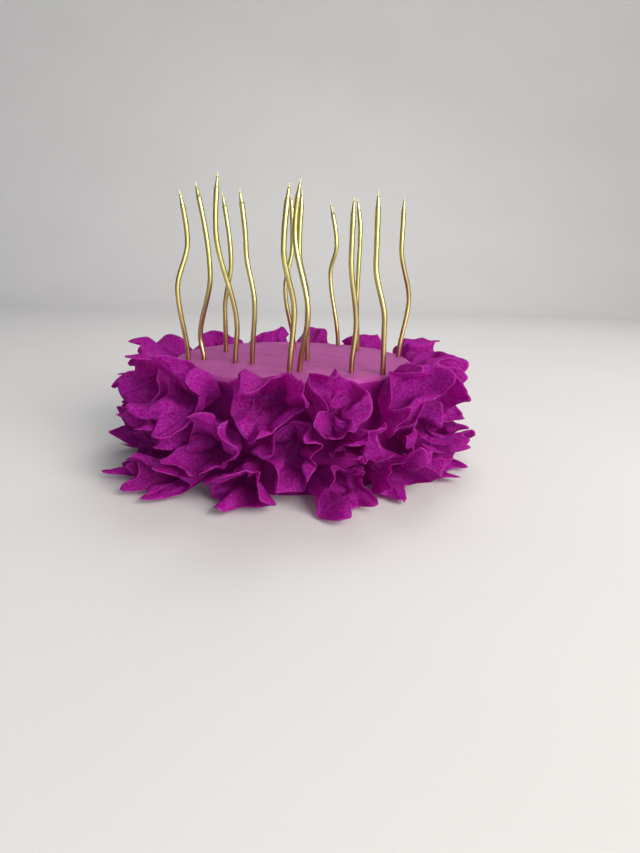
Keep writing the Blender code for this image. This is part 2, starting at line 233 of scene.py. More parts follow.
painted_shade_cream, tree, output = new_material("buttercream_painted_shade")
place = add_node(tree, "ShaderNodeTexCoord").outputs["Object"]
cloud = add_node(tree, "ShaderNodeTexNoise",
                 {"Vector": place, "Scale": 1000 / CLOUD_MM, "Detail": 3.0})
painted_shade_colour = add_node(tree, "ShaderNodeMix",
                  {0: cloud.outputs["Fac"], 6: linear("#6e085e"), 7: linear("#8c1078")},
                  data_type="RGBA")
bump = add_node(tree, "ShaderNodeBump",
                {"Height": cloud.outputs["Fac"], "Strength": 0.4, "Distance": 0.001})
surface = add_node(tree, "ShaderNodeBsdfPrincipled",
                   {"Base Color": painted_shade_colour.outputs[2], "Roughness": 0.8, "IOR": 1.46,
                    "Specular IOR Level": 0.1, "Normal": bump.outputs[0]})
tree.links.new(surface.outputs[0], output.inputs["Surface"])
print("buttercream:", icing.name, "and", painted_shade_cream.name)

# %% [markdown]
# ## Golden wax
#
# Each candle is paraffin wax dipped in a thin lacquer of brass-coloured powder. The powder makes
# it a metal to the eye, pale and a little green beside real gold. Towards the foot it is painted
# browner, a painted reflection of the icing and paper beside it. The dip leaves it slightly uneven,
# and its clear lacquer adds a second, whiter highlight, which is the coat here. A metal has no
# paint of its own: its colour is that of its reflections. The wick is cotton soaked in wax.

# %% Candle materials
DIP_MM = 6.0
POWDER_MM = 0.8
# The painted brown reflection is full below the first of these heights and gone above the second
PAINTED_REFLECTION_FULL = 0.060  # heights in metres: the icing's top is at 0.067
PAINTED_REFLECTION_GONE = 0.125

gold, tree, output = new_material("gold_lacquered_wax")
place = add_node(tree, "ShaderNodeTexCoord").outputs["Object"]
dip = add_node(tree, "ShaderNodeTexNoise",
               {"Vector": place, "Scale": 1000 / DIP_MM, "Detail": 2.0})
powder = add_node(tree, "ShaderNodeTexNoise",
                  {"Vector": place, "Scale": 1000 / POWDER_MM, "Detail": 1.0})
lacquer = add_node(tree, "ShaderNodeMix",
                   {0: dip.outputs["Fac"], 6: linear("#beb56c"), 7: linear("#d2ca88")},
                   data_type="RGBA")
dullness = add_node(tree, "ShaderNodeMapRange",
                    {"Value": powder.outputs["Fac"], "From Min": 0.3, "From Max": 0.7,
                     "To Min": 0.27, "To Max": 0.34})
height = add_node(tree, "ShaderNodeSeparateXYZ", {0: place})
# Painted reflection: low on the candle the gold is mixed towards brown, for the icing and paper that it
# would reflect
painted_reflection_fade = add_node(tree, "ShaderNodeMapRange",
                       {"Value": height.outputs["Z"], "From Min": PAINTED_REFLECTION_FULL, "From Max": PAINTED_REFLECTION_GONE})
gold_with_painted_reflection = add_node(tree, "ShaderNodeMix",
                  {0: painted_reflection_fade.outputs[0], 6: linear("#a97c5c"), 7: lacquer.outputs[2]},
                  data_type="RGBA")
bump = add_node(tree, "ShaderNodeBump",
                {"Height": dip.outputs["Fac"], "Strength": 0.05, "Distance": 0.0002})
surface = add_node(tree, "ShaderNodeBsdfPrincipled",
                   {"Base Color": gold_with_painted_reflection.outputs[2], "Metallic": 1.0,
                    "Roughness": dullness.outputs[0], "Coat Weight": 0.2,
                    "Coat Roughness": 0.18, "Normal": bump.outputs[0]})
tree.links.new(surface.outputs[0], output.inputs["Surface"])

cotton, tree, output = new_material("waxed_cotton_wick")
place = add_node(tree, "ShaderNodeTexCoord").outputs["Object"]
strand = add_node(tree, "ShaderNodeTexWave",
                  {"Vector": place, "Scale": 400.0, "Distortion": 1.0}, bands_direction="DIAGONAL")
thread = add_node(tree, "ShaderNodeMix",
                  {0: strand.outputs["Fac"], 6: linear("#b9ab73"), 7: linear("#dacf9c")},
                  data_type="RGBA")
surface = add_node(tree, "ShaderNodeBsdfPrincipled",
                   {"Base Color": thread.outputs[2], "Roughness": 0.6, "IOR": 1.44})
tree.links.new(surface.outputs[0], output.inputs["Surface"])
print("candles:", gold.name, "and", cotton.name)

# %% [markdown]
# ## From numbers to a piece
#
# Every shape below is a grid of points: a function of two parameters, worked out for all points
# at once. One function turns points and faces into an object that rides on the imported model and
# stands in for its solid. The points are in metres in the model's own frame, so the object itself
# stays at the origin.


# %% A helper that makes a piece
def add_piece(name, points, faces, surfaces, node, face_surfaces=None, sheet=None):
    """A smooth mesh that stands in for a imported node.

    face_surfaces numbers the material of each face. sheet is a pair of UV values for each point.
    """
    mesh = bpy.data.meshes.new(name)
    mesh.from_pydata(points.tolist(), [], faces)
    for surface in surfaces:
        mesh.materials.append(surface)
    if face_surfaces is not None:
        mesh.polygons.foreach_set("material_index", np.asarray(face_surfaces, dtype=np.int32))
    if sheet is not None:
        corners = np.empty(len(mesh.loops), dtype=np.int32)
        mesh.loops.foreach_get("vertex_index", corners)
        layer = mesh.uv_layers.new(name="sheet")
        layer.data.foreach_set("uv", sheet[corners].astype(np.float32).ravel())
    mesh.shade_smooth()
    mesh.update()
    made = bpy.data.objects.new(name, mesh)
    bpy.context.scene.collection.objects.link(made)
    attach(made, "root")
    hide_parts(node)
    return made


def grid_faces(rows, sides, first=0):
    """Quads of a grid whose rows are closed rings. They face outwards when the rings turn left."""
    index = first + np.arange(rows * sides).reshape(rows, sides)
    after = np.roll(index, -1, axis=1)
    return np.stack([index[:-1], after[:-1], after[1:], index[1:]], axis=-1).reshape(-1, 4).tolist()


print("a grid of 3 rings of 4 has", len(grid_faces(3, 4)), "quads")

# %% [markdown]
# ## Cake
#
# A baker turns the cake while the knife stays still, so its form is a profile carried round an
# axis. The profile runs from the middle of the underside out, up the side, round the soft top edge
# and back to the middle. A cylinder with a bevel would give that form too, but on a grid of points
# the top can get the knife's shallow waves, and a small dimple where each candle pulled the cream
# down with it. The paper was pressed into the side, which leaves straight ridges there that cross
# each other.

# %% The cake's sizes, and where the candles stand
CAKE_RADIUS = 0.080
CAKE_HEIGHT = 0.067
CAKE_EDGE = 0.004
CAKE_UNEVEN = 0.0004
CAKE_SIDES = 320
UNDER_ROWS = 6
SIDE_ROWS = 64
EDGE_ROWS = 10
TOP_ROWS = 150
KNIFE_WAVE = 0.00004
DIMPLE_DEPTH = 0.0007
DIMPLE_RADIUS = 0.0026
PRESSED_DEPTH = 0.0028
PRESSED_TOP = CAKE_HEIGHT - CAKE_EDGE
PRESSED_RIDGES = ((0.0, 0.017), (0.7, 0.013), (1.9, 0.011), (2.6, 0.019))  # heading, spacing
PRESSED_FADES = (0.006, 0.002)  # below the top edge, above the floor
KNIFE_SPACINGS = (0.013, 0.0071)
KNIFE_NARROW = 0.6  # how strong the narrow waves are beside the wide ones
# Below this height the cake's side gets the painted shade
PAINTED_SHADE_TOP = CAKE_HEIGHT - 0.7 * CAKE_EDGE  # just below the top edge
# Where each candle stands, its height above the icing, its sideways swing at the tip, then the
# height and swing of its upper bend and of its lower bend, all in millimetres
CANDLES_MM = np.array([
    (-68.5, -12.0, 103, -1.0, 74, 2.5, 44, -4.5),
    (-58.5, -11.0, 108, -1.5, 54, 6.5, 14, -2.0),
    (-37.0, -21.0, 112, -7.5, 81, -9.5, 22, 1.5),
    (-48.0, 24.0, 106, 0.0, 62, 5.0, 29, 0.0),
    (-26.0, -23.5, 104, -6.5, 70, -3.0, 36, 2.0),
    (-2.0, -61.5, 103, -0.5, 69, -3.5, 36, 2.5),
    (4.0, -48.5, 107, -0.5, 79, -3.5, 34, 4.5),
    (0.5, 40.5, 107, -2.5, 74, -1.5, 43, -6.5),
    (9.5, -7.5, 105, -4.5, 70, -6.0, 39, -0.5),
    (35.5, 66.5, 106, -8.5, 74, -3.0, 55, -7.0),
    (35.0, -50.0, 98, -2.0, 65, -2.5, 28, 2.0),
    (48.0, 38.0, 106, -4.0, 82, -1.0, 37, -1.5),
    (53.5, -53.5, 101, -7.5, 63, -7.0, 30, -0.5),
    (74.5, 12.0, 105, -2.5, 74, -2.5, 38, 5.5),
])
print(len(CANDLES_MM), "candles")


# %% The cake's profile and surface
def cake_profile():
    """Radius and height from the underside's middle to the top's middle, in four stretches."""
    corner = CAKE_RADIUS - CAKE_EDGE
    turn = np.linspace(0, math.pi / 2, EDGE_ROWS)
    under = np.linspace(0.02, 1, UNDER_ROWS)[:-1] * CAKE_RADIUS
    side = np.linspace(0, CAKE_HEIGHT - CAKE_EDGE, SIDE_ROWS)[:-1]
    across = np.linspace(corner, 0.0004, TOP_ROWS)[1:]
    radii = [under, np.full(len(side), CAKE_RADIUS), corner + CAKE_EDGE * np.cos(turn), across]
    heights = [np.zeros(len(under)), side, CAKE_HEIGHT - CAKE_EDGE * (1 - np.sin(turn)),
               np.full(len(across), CAKE_HEIGHT)]
    return np.concatenate(radii), np.concatenate(heights)


def cake_surface(radii, heights):
    """The profile at every angle round the axis.

    The radius wanders by two sine waves, 3 and 7 to a turn, and the side is pressed in by triangle
    waves along four directions. The top falls by a sum of sine waves across a slowly bending line,
    which are the knife's, and by a bell-shaped dimple at each candle.
    """
    angles = 2 * math.pi * np.arange(CAKE_SIDES) / CAKE_SIDES
    radius, angle = np.meshgrid(radii, angles, indexing="ij")
    height = np.repeat(heights[:, None], CAKE_SIDES, axis=1)
    wander = CAKE_UNEVEN * (np.sin(3 * angle + 1) + np.sin(7 * angle + 40 * height))
    radius = radius + wander * radius / CAKE_RADIUS
    fade_above, fade_below = PRESSED_FADES
    on_side = np.clip((PRESSED_TOP - height) / fade_above, 0, 1) * np.clip(height / fade_below, 0, 1)
    for heading, spacing in PRESSED_RIDGES:
        place = (CAKE_RADIUS * angle * math.cos(heading) + height * math.sin(heading)) / spacing
        ridge = 2 * np.abs(place - np.floor(place + 0.5))
        radius = radius - on_side * PRESSED_DEPTH * ridge / len(PRESSED_RIDGES)
    x, y = radius * np.cos(angle), radius * np.sin(angle)
    bent = y + 0.2 * x + 2.2 * x * x
    wide, narrow = KNIFE_SPACINGS
    waves = np.sin(2 * math.pi * bent / wide + 1.1)
    waves = waves + KNIFE_NARROW * np.sin(2 * math.pi * bent / narrow)
    on_top = np.clip((height - CAKE_HEIGHT + 0.001) / 0.001, 0, 1)
    height = height - on_top * KNIFE_WAVE * (1 + KNIFE_NARROW - waves)
    for foot_x, foot_y in CANDLES_MM[:, :2] / 1000:
        distance = np.hypot(x - foot_x, y - foot_y)
        height = height - on_top * DIMPLE_DEPTH * np.exp(-(distance / DIMPLE_RADIUS) ** 2)
    return np.stack([x, y, height], axis=-1)


# %% Make the cake
radii, heights = cake_profile()
cake_points = cake_surface(radii, heights)
rows = len(radii)
cake_points = np.concatenate([
    cake_points.reshape(-1, 3), [[0, 0, 0], [0, 0, cake_points[-1, :, 2].mean()]],
])
cake_faces = grid_faces(rows, CAKE_SIDES)
first_ring = np.arange(CAKE_SIDES)
last_ring = (rows - 1) * CAKE_SIDES + first_ring
under_middle, top_middle = rows * CAKE_SIDES, rows * CAKE_SIDES + 1
cake_faces += [(under_middle, int(after), int(here))
               for here, after in zip(first_ring, np.roll(first_ring, -1))]
cake_faces += [(top_middle, int(here), int(after))
               for here, after in zip(last_ring, np.roll(last_ring, -1))]
# The side and the underside get the material with the painted shade, the top gets the plain icing
row_heights = np.repeat(heights[:-1], CAKE_SIDES)
which = np.concatenate([row_heights < PAINTED_SHADE_TOP,
                        np.ones(CAKE_SIDES, bool), np.zeros(CAKE_SIDES, bool)]).astype(int)
add_piece("iced_cake", cake_points, cake_faces, [icing, painted_shade_cream], "cake",
          face_surfaces=which)
print("cake:", len(cake_faces), "faces")

# %% [markdown]
# ## Candles
#
# The real ones are wax rods bent while warm, each with a sharpened point and a short wick. A curve
# object with a bevel could draw them, but not the uneven thickness that dipping gives. So a circle
# is carried along a wavy line, smaller where the rod is sharpened. The line leaves the icing
# upright, rests at each bend and runs straight to the tip. Rings are set square to the line, so
# the rod keeps its thickness where it leans.

# %% Candle sizes
CANDLE_RADIUS = 0.0016
CANDLE_SUNK = 0.025
CANDLE_POINT = 0.006
WICK_RADIUS = 0.0004
WICK_LENGTH = 0.0025
CONE_FOOT_RADIUS = 0.84 * CANDLE_RADIUS
CONE_TOP_RADIUS = 1.6 * WICK_RADIUS
CANDLE_TURN = 0.6
CANDLE_SIDES = 20
ROD_RINGS = 90
CONE_RINGS = 8


# %% The candle's line and its rings
def swing(height, bends):
    """Sideways place at each height: 3s^2 - 2s^3 from bend to bend, and 1.5s^2 - 0.5s^3 to the tip."""
    value = np.zeros_like(height)
    for number, ((low, start), (high, end)) in enumerate(zip(bends, bends[1:])):
        share = np.clip((height - low) / (high - low), 0, 1)
        last = number == len(bends) - 2
        eased = 1.5 * share**2 - 0.5 * share**3 if last else 3 * share**2 - 2 * share**3
        value += (end - start) * eased
    return value


def candle_rings(number, row):
    """Rings from the sunk foot to the wick's end: an array of rings by sides by 3."""
    x, y, tip, tip_swing, upper, upper_swing, lower, lower_swing = row
    bends = [(0, 0), (lower, lower_swing), (upper, upper_swing), (tip, tip_swing)]
    turn = CANDLE_TURN * math.sin(2.4 * number)
    wick_foot = tip - 1000 * WICK_LENGTH
    cone_foot = wick_foot - 1000 * CANDLE_POINT
    rod = np.linspace(-1000 * CANDLE_SUNK, cone_foot, ROD_RINGS)
    cone = np.linspace(cone_foot + 0.25, wick_foot, CONE_RINGS)
    wick = np.array([wick_foot + 0.02, wick_foot + 0.7, tip - 0.25, tip - 0.02])
    height = np.concatenate([rod, cone, wick])
    narrowing = np.linspace(1, 0, CONE_RINGS)
    cone_radius = CONE_TOP_RADIUS + (CONE_FOOT_RADIUS - CONE_TOP_RADIUS) * narrowing**0.9
    wick_radius = WICK_RADIUS * np.array([1.0, 0.95, 0.95, 0.5])
    uneven = 1 + 0.02 * np.sin(height / 4.1 + number) + 0.015 * np.sin(height / 1.7 + 2 * number)
    radius = np.concatenate([np.full(len(rod), CANDLE_RADIUS), cone_radius, wick_radius]) * uneven
    aside = swing(height, bends)
    line = np.stack([x + aside, y + aside * math.tan(turn), 1000 * CAKE_HEIGHT + height], -1) / 1000
    along = np.gradient(line, height, axis=0)
    along /= np.linalg.norm(along, axis=1, keepdims=True)
    side_1 = np.cross([0, 1, 0], along)
    side_1 /= np.linalg.norm(side_1, axis=1, keepdims=True)
    side_2 = np.cross(along, side_1)
    angles = 2 * math.pi * np.arange(CANDLE_SIDES) / CANDLE_SIDES
    circle = np.cos(angles)[:, None] * side_1[:, None] + np.sin(angles)[:, None] * side_2[:, None]
    return line[:, None] + radius[:, None, None] * circle, len(rod) + len(cone)


# %% Make the candles
for number, row in enumerate(CANDLES_MM, start=1):
    rings, golden_rings = candle_rings(number, row)
    count = rings.shape[0] * CANDLE_SIDES
    faces = grid_faces(rings.shape[0], CANDLE_SIDES)
    faces.append(tuple(range(CANDLE_SIDES))[::-1])
    faces.append(tuple(range(count - CANDLE_SIDES, count)))
    which = np.zeros(len(faces), int)
    which[golden_rings * CANDLE_SIDES:] = 1
    which[-2] = 0
    add_piece(f"gold_candle_{number:02d}", rings.reshape(-1, 3), faces, [gold, cotton],
              f"candle_{number:02d}", face_surfaces=which)
print("candles:", len(CANDLES_MM), "with", len(faces), "faces each")

# %% [markdown]
# ## Ruffle
#
# Each petal starts as a square of paper that is held at a point near its middle. From there the
# paper first flares and then runs along the petal's own line, and what doesn't fit round that line
# goes into folds. Every petal has a room of its own between its neighbours, which keeps each sheet
# out of the next. A cloth simulation could fold squares too, but their rooms and outline would be
# harder to hold. Then the whole ruffle is crumpled at once: balls of space are turned, most at
# their centres and not at all at their surfaces, which bends sheets without tearing or crossing
# them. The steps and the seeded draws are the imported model's, so each sheet lands on its solid.

# %% The ruffle's values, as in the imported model
ROWS = ("low", "middle", "top")
PETALS_A_ROW = 14
ROW_HEIGHTS = (0.012, 0.032, 0.051)
ROW_TILTS = (-4.0, 2.0, 8.0)
TOP_TURNS_BACK = 5.0
AROUND_SHIFT = 0.2
HEIGHT_SHIFT = 0.003
PINCH_GAP = 0.0008
REACH = 0.026
REACH_SHIFT = (-0.003, 0.005)
HALF_SQUARE = (0.032, 0.037)
LOW_ROW_LARGER = 0.002
OFF_CENTRE = 0.006
PAPER = 0.0005
ROOM_GAP = 0.0020
FLOOR_GAP = 0.0009
CEILING = 0.081
WIDEST = 0.028
NEIGHBOURS = 15
OPENNESS = (0.79, 0.85)
FOLD_DEPTH = (0.17, 0.24)
SHARE_LIMITS = (0.3, 0.985)
CRISP = 0.9
FOLDS_GROW = 0.014
ROOT_SHARE = 0.9
LEAN = 12.0
ASIDE = 18.0
FOLDS = np.arange(2, 6)
MAIN_FOLDS = (2, 3, 4)
OTHER_FOLDS = 0.28
LEVELLING = 5
TAKEN_SIDEWAYS = 0.98
TAKEN_ALONG = 0.93
RUFFLE_SEED = 77
SHEET_ANGLES = 20
SHEET_STEPS = (0.3, 0.65, 1.0)
TURNS = 100
TURN_ANGLE = 1.7
LEAST_TURN = 0.6
TURN_BALL = (0.020, 0.034)
TURN_SEED = 101
TURN_TOP = 0.064
TURN_GAP = (0.0005, 0.010)
CALMING = 0.8
EASING = 0.92
CALMING_ROUNDS = 40
UP = np.array([0.0, 0.0, 1.0])
print(len(ROWS) * PETALS_A_ROW, "petals")


# %% One petal: where it is, how it opens and how it folds
def unit(vector):
    return vector / np.linalg.norm(vector)


class Petal:
    """One square of paper, pinched near its middle."""

    def __init__(self, draw, row, place):
        step = 2 * math.pi / PETALS_A_ROW
        around = (place + 0.5 * (row % 2) + draw.uniform(-AROUND_SHIFT, AROUND_SHIFT)) * step
        back = math.sin(around) if ROWS[row] == "top" else 0.0
        height = ROW_HEIGHTS[row] + draw.uniform(-HEIGHT_SHIFT, HEIGHT_SHIFT)
        rise = math.radians(ROW_TILTS[row] + draw.uniform(-LEAN, LEAN) - TOP_TURNS_BACK * back)
        aside = math.radians(draw.uniform(-ASIDE, ASIDE))
        self.name = f"petal_{ROWS[row]}_{place + 1:02d}"
        self.out = np.array([math.cos(around), math.sin(around), 0.0])
        along = np.array([-math.sin(around), math.cos(around), 0.0])
        level = self.out * math.cos(aside) + along * math.sin(aside)
        self.pinch = self.out * (CAKE_RADIUS + PINCH_GAP) + UP * height
        self.axis = unit(level * math.cos(rise) + UP * math.sin(rise))
        self.across = unit(np.cross(UP, self.axis))
        self.upward = np.cross(self.axis, self.across)
        self.middle = self.pinch + self.axis * (REACH + draw.uniform(*REACH_SHIFT))
        self.half = draw.uniform(*HALF_SQUARE) + (LOW_ROW_LARGER if ROWS[row] == "low" else 0.0)
        self.off_centre = draw.uniform(-OFF_CENTRE, OFF_CENTRE, 2)
        self.spin = draw.uniform(0, math.pi / 2)
        self.openness = draw.uniform(*OPENNESS)
        main_fold = draw.choice(MAIN_FOLDS)
        shares = OTHER_FOLDS * draw.uniform(0.2, 1.0, len(FOLDS))
        shares[FOLDS == main_fold] = 1.0
        self.folds = shares * draw.uniform(*FOLD_DEPTH)
        self.phases = draw.uniform(0, 2 * math.pi, len(FOLDS))


draw = np.random.default_rng(RUFFLE_SEED)
petals = [Petal(draw, row, place) for row in range(len(ROWS)) for place in range(PETALS_A_ROW)]
print("first petal is pinched at", np.round(1000 * petals[0].pinch, 1), "mm")


# %% The room that each petal keeps to
def room_walls(number, gap):
    """Planes midway to the neighbours, at the icing, the floor and the top: normals, offsets."""
    petal = petals[number]
    middles = np.array([other.middle for other in petals])
    nearest = np.argsort(np.linalg.norm(middles - petal.middle, axis=1))[1:NEIGHBOURS + 1]
    normals = [unit(middles[other] - petal.middle) for other in nearest]
    halfway = [(middles[other] + petal.middle) / 2 for other in nearest]
    offsets = [normal @ point - gap / 2 for normal, point in zip(normals, halfway)]
    normals += [-petal.out, -UP, UP]
    offsets += [-(CAKE_RADIUS + 0.75 * PINCH_GAP), -FLOOR_GAP, CEILING]
    return np.array(normals), np.array(offsets)


def room_width(walls, points, directions):
    """How far the room reaches: the least of (offset - point . normal) / (direction . normal)."""
    normals, offsets = walls
    spare = offsets - points @ normals.T
    slope = directions @ normals.T
    reach = np.where(slope > 1e-6, spare / np.maximum(slope, 1e-6), WIDEST)
    return np.clip(reach.min(axis=-1), 1e-4, WIDEST)


def paper_reach(petal, angles, sharpness=8):
    """Distance from the pinch to the edge of the square: a rounded minimum of its two sides'."""
    cosines, sines = np.cos(angles), np.sin(angles)
    sideways = (petal.half - petal.off_centre[0] * np.sign(cosines)) / np.maximum(abs(cosines), 1e-6)
    lengthwise = (petal.half - petal.off_centre[1] * np.sign(sines)) / np.maximum(abs(sines), 1e-6)
    return (sideways**-sharpness + lengthwise**-sharpness) ** (-1 / sharpness)


print("room of petal 1 is", round(1000 * float(room_width(
    room_walls(0, ROOM_GAP), petals[0].middle[None], petals[0].across[None])[0])), "mm to its left")


# %% The folded square
def sheet_points(petal, walls, angle, along, opener=0.0, shallower=1.0, pushes=0.0, dents=0.0):
    """The folded square before it is crumpled, for points given by angle and distance in the flat.

    A point at distance s from the pinch moves out along the petal's axis by d and away from the
    axis by t. t follows s, then levels off at a share q of the room's width, so that d takes up
    what is left of s. The share q varies round the axis as a sum of waves, which are the folds.
    opener is added to q, shallower is a share of the folds, pushes are added to d and dents taken
    off t.
    """
    heading = (angle + petal.spin)[..., None]
    direction = np.cos(heading) * petal.across + np.sin(heading) * petal.upward
    waves = np.arcsin(CRISP * np.sin(angle[..., None] * FOLDS + petal.phases)) / math.asin(CRISP)
    share = petal.openness + opener + shallower * (petal.folds * waves).sum(axis=-1)
    grown = np.clip(along / FOLDS_GROW, 0.0, 1.0)
    share = ROOT_SHARE + (np.clip(share, *SHARE_LIMITS) - ROOT_SHARE) * grown * (2 - grown)
    deep = 0.55 * along
    for _ in range(4):
        width = room_width(walls, petal.pinch + deep[..., None] * petal.axis, direction)
        limit = np.maximum(width * share, 1e-5)
        flared = (1 + (along / limit) ** LEVELLING) ** (1 / LEVELLING)
        wide = np.minimum(TAKEN_SIDEWAYS * along / flared, SHARE_LIMITS[1] * width)
        left = np.maximum(1 - (wide / np.maximum(along, 1e-6)) ** 2, 0.08)
        deep = TAKEN_ALONG * along * np.sqrt(left)
    deep = deep + pushes
    width = room_width(walls, petal.pinch + deep[..., None] * petal.axis, direction)
    wide = np.minimum(wide, SHARE_LIMITS[1] * width)
    wide = wide - np.minimum(dents, 0.5 * wide)
    return petal.pinch + deep[..., None] * petal.axis + wide[..., None] * direction


# %% The turns that crumple the ruffle
def random_turns():
    """Balls beside the cake, each with an axis through its centre and an angle to turn by."""
    draw = np.random.default_rng(TURN_SEED)
    turns = []
    for _ in range(TURNS):
        around = draw.uniform(0, 2 * math.pi)
        radius = draw.uniform(*TURN_BALL)
        out = np.array([math.cos(around), math.sin(around), 0.0])
        distance = CAKE_RADIUS + radius + draw.uniform(*TURN_GAP)
        centre = out * distance + UP * draw.uniform(radius + 0.001, TURN_TOP)
        axis = draw.normal(size=3)
        axis = unit(axis - 0.6 * (axis @ out) * out)
        angle = draw.uniform(LEAST_TURN, 1.0) * TURN_ANGLE * draw.choice([-1, 1])
        turns.append((centre, radius, axis, angle))
    return turns


def crumpled(points, turns):
    """Turns what is in each ball: at share x of its radius, by angle * (1 - x * x) ** 2."""
    moved = points.reshape(-1, 3).copy()
    for centre, radius, axis, angle in turns:
        arms = moved - centre
        shares = np.linalg.norm(arms, axis=1) / radius
        inside = shares < 1
        arms = arms[inside]
        turn = (angle * (1 - shares[inside] ** 2) ** 2)[:, None]
        kept = axis * (arms @ axis)[:, None] * (1 - np.cos(turn))
        moved[inside] = centre + arms * np.cos(turn) + np.cross(axis, arms) * np.sin(turn) + kept
    return moved.reshape(points.shape)


turns = random_turns()
print(len(turns), "turns")

# %% [markdown]
# Paper doesn't bend like rubber: it stays flat or bends one way, and between such faces it breaks
# into sharp creases. So each square gets a net of creases, drawn flat: points along its rim and
# seeded points inside, joined to triangles by Blender's own Delaunay function. Only the net's
# points follow the smooth folds, each pushed along the petal's axis and dented towards it, and the
# paper between them is straight. A room has flat walls and no hollows, so straight faces stay
# inside it too.

# %% The net of creases
RIM_POINTS = 16
INNER_RINGS = ((0.3, 5), (0.55, 9), (0.79, 13))  # share of the way to the rim, number of points
JITTER = 0.08
PUSH_DEPTH = 0.008
DENT_DEPTH = 0.012
RIM_DENTS = 0.3  # share of a dent that is left at the rim
DENTED_FROM = 0.02  # from here outwards, pushes and dents have their full depth
LEAST_FACE = 4e-6  # twice its area, in square metres
OPENER = 0.24
SHALLOWER = 0.85
CORNER_SHARPNESS = 14


def turned_area(one, other):
    """Twice the signed area between two flat vectors."""
    return one[..., 0] * other[..., 1] - one[..., 1] * other[..., 0]


def crease_net(petal, draw):
    """The net's points in the flat square, from the pinch and the rim inwards, and its triangles."""
    corners = petal.half * np.array([(1, 1), (-1, 1), (-1, -1), (1, -1)]) - petal.off_centre
    way = np.arange(RIM_POINTS) / (RIM_POINTS // 4)
    first = way.astype(int)
    onward = (way - first)[:, None]
    points = [np.zeros((1, 2)), corners[first] * (1 - onward) + corners[(first + 1) % 4] * onward]
    for share, count in INNER_RINGS:
        angle = draw.uniform(0, 1) + np.arange(count) + draw.uniform(-0.3, 0.3, count)
        angle = 2 * math.pi * angle / count
        along = (share + draw.uniform(-JITTER, JITTER, count)) * paper_reach(petal, angle)
        points.append(np.stack([along * np.cos(angle), along * np.sin(angle)], axis=-1))
    flat = np.concatenate(points)
    triangles = np.array(delaunay_2d_cdt([Vector(point) for point in flat], [], [], 0, 1e-7)[2])
    a, b, c = (flat[triangles[:, corner]] for corner in range(3))
    return flat, triangles[abs(turned_area(b - a, c - a)) > LEAST_FACE]


def between(points, flat, triangles):
    """Each point's triangle, and its shares of the three corners: areas over the whole area."""
    a, b, c = (flat[triangles[:, corner]] for corner in range(3))
    points = points[:, None]
    whole = turned_area(b - a, c - a)
    share_a = turned_area(b - points, c - points) / whole
    share_b = turned_area(c - points, a - points) / whole
    shares = np.stack([share_a, share_b, 1 - share_a - share_b], axis=-1)
    inside = shares.min(axis=-1).argmax(axis=1)
    shares = np.clip(shares[np.arange(len(points)), inside], 0, 1)
    return triangles[inside], shares / shares.sum(axis=-1, keepdims=True)


def creased_sheet(petal, walls, angle, along, opener, draw):
    """The folded square: only its net is folded, and the faces between the creases are straight."""
    flat, triangles = crease_net(petal, draw)
    net_angle = np.arctan2(flat[:, 1], flat[:, 0])
    net_along = np.hypot(flat[:, 0], flat[:, 1])
    grown = np.clip(net_along / DENTED_FROM, 0, 1)
    pushes = PUSH_DEPTH * draw.uniform(-1, 0.3, len(net_angle)) * grown
    dents = DENT_DEPTH * draw.uniform(0, 1, len(net_angle)) * grown
    dents[1:RIM_POINTS + 1] *= RIM_DENTS
    net = sheet_points(petal, walls, net_angle, net_along, opener, SHALLOWER, pushes, dents)
    places = np.stack([along * np.cos(angle), along * np.sin(angle)], axis=-1)
    corners, shares = between(places, flat, triangles)
    return (net[corners] * shares[..., None]).sum(axis=1)


print("net of creases:", len(crease_net(petals[0], np.random.default_rng(0))[1]), "faces")

# %% [markdown]
# The solids can only take the large turns. The paper of the picture also has small ones, a finger's
# width to a thumb's width across, which curl its edges. They are made the same way, so they tear
# nothing either, and they keep clear of the icing and the floor.

# %% The small turns, for the fine sheets alone
SMALL_TURNS = 300
SMALL_BALL = (0.009, 0.016)
SMALL_ANGLE = 0.65
SMALL_SEED = 7
SMALL_GAP = (0.001, 0.025)


def small_turns():
    """Small balls that touch neither the cake's side nor the floor, with any axis and angle."""
    draw = np.random.default_rng(SMALL_SEED)
    chosen = []
    while len(chosen) < SMALL_TURNS:
        around = draw.uniform(0, 2 * math.pi)
        radius = draw.uniform(*SMALL_BALL)
        distance = CAKE_RADIUS + radius + draw.uniform(*SMALL_GAP)
        height = draw.uniform(radius + 0.001, CEILING - 0.3 * radius)
        centre = np.array([distance * math.cos(around), distance * math.sin(around), height])
        axis = unit(draw.normal(size=3))
        angle = draw.uniform(0.5, 1.0) * SMALL_ANGLE * draw.choice([-1, 1])
        chosen.append((centre, radius, axis, angle))
    return chosen


curls = small_turns()
print(len(curls), "small turns")


# %% [markdown]
# So far a sheet is a single layer of points. Real paper shows a thin cut edge, so the layer is
# doubled: one copy moves half the thickness to each side, and a strip closes the edge. Blender's
# Solidify modifier does the same, but here the thickness can differ from point to point.

# %% A sheet with thickness
def sheet_faces(rings, sides):
    """Triangles round the pinch, point 0, and between the rings; and the outermost ring."""
    index = 1 + np.arange(rings * sides).reshape(rings, sides)
    after = np.roll(index, -1, axis=1)
    pinch = np.zeros(sides, int)
    faces = [np.stack([pinch, index[0], after[0]], axis=-1)]
    for inner in range(rings - 1):
        outer = inner + 1
        faces.append(np.stack([index[inner], index[outer], after[outer]], axis=-1))
        faces.append(np.stack([index[inner], after[outer], after[inner]], axis=-1))
    return np.concatenate(faces), index[-1]


def sheet_normals(points, faces):
    """At each point, the mean direction of its faces' normals."""
    face_normals = np.cross(points[faces[:, 1]] - points[faces[:, 0]],
                            points[faces[:, 2]] - points[faces[:, 0]])
    face_normals /= np.linalg.norm(face_normals, axis=1, keepdims=True) + 1e-12
    normals = np.zeros_like(points)
    for corner in range(3):
        np.add.at(normals, faces[:, corner], face_normals)
    return normals / (np.linalg.norm(normals, axis=1, keepdims=True) + 1e-12)


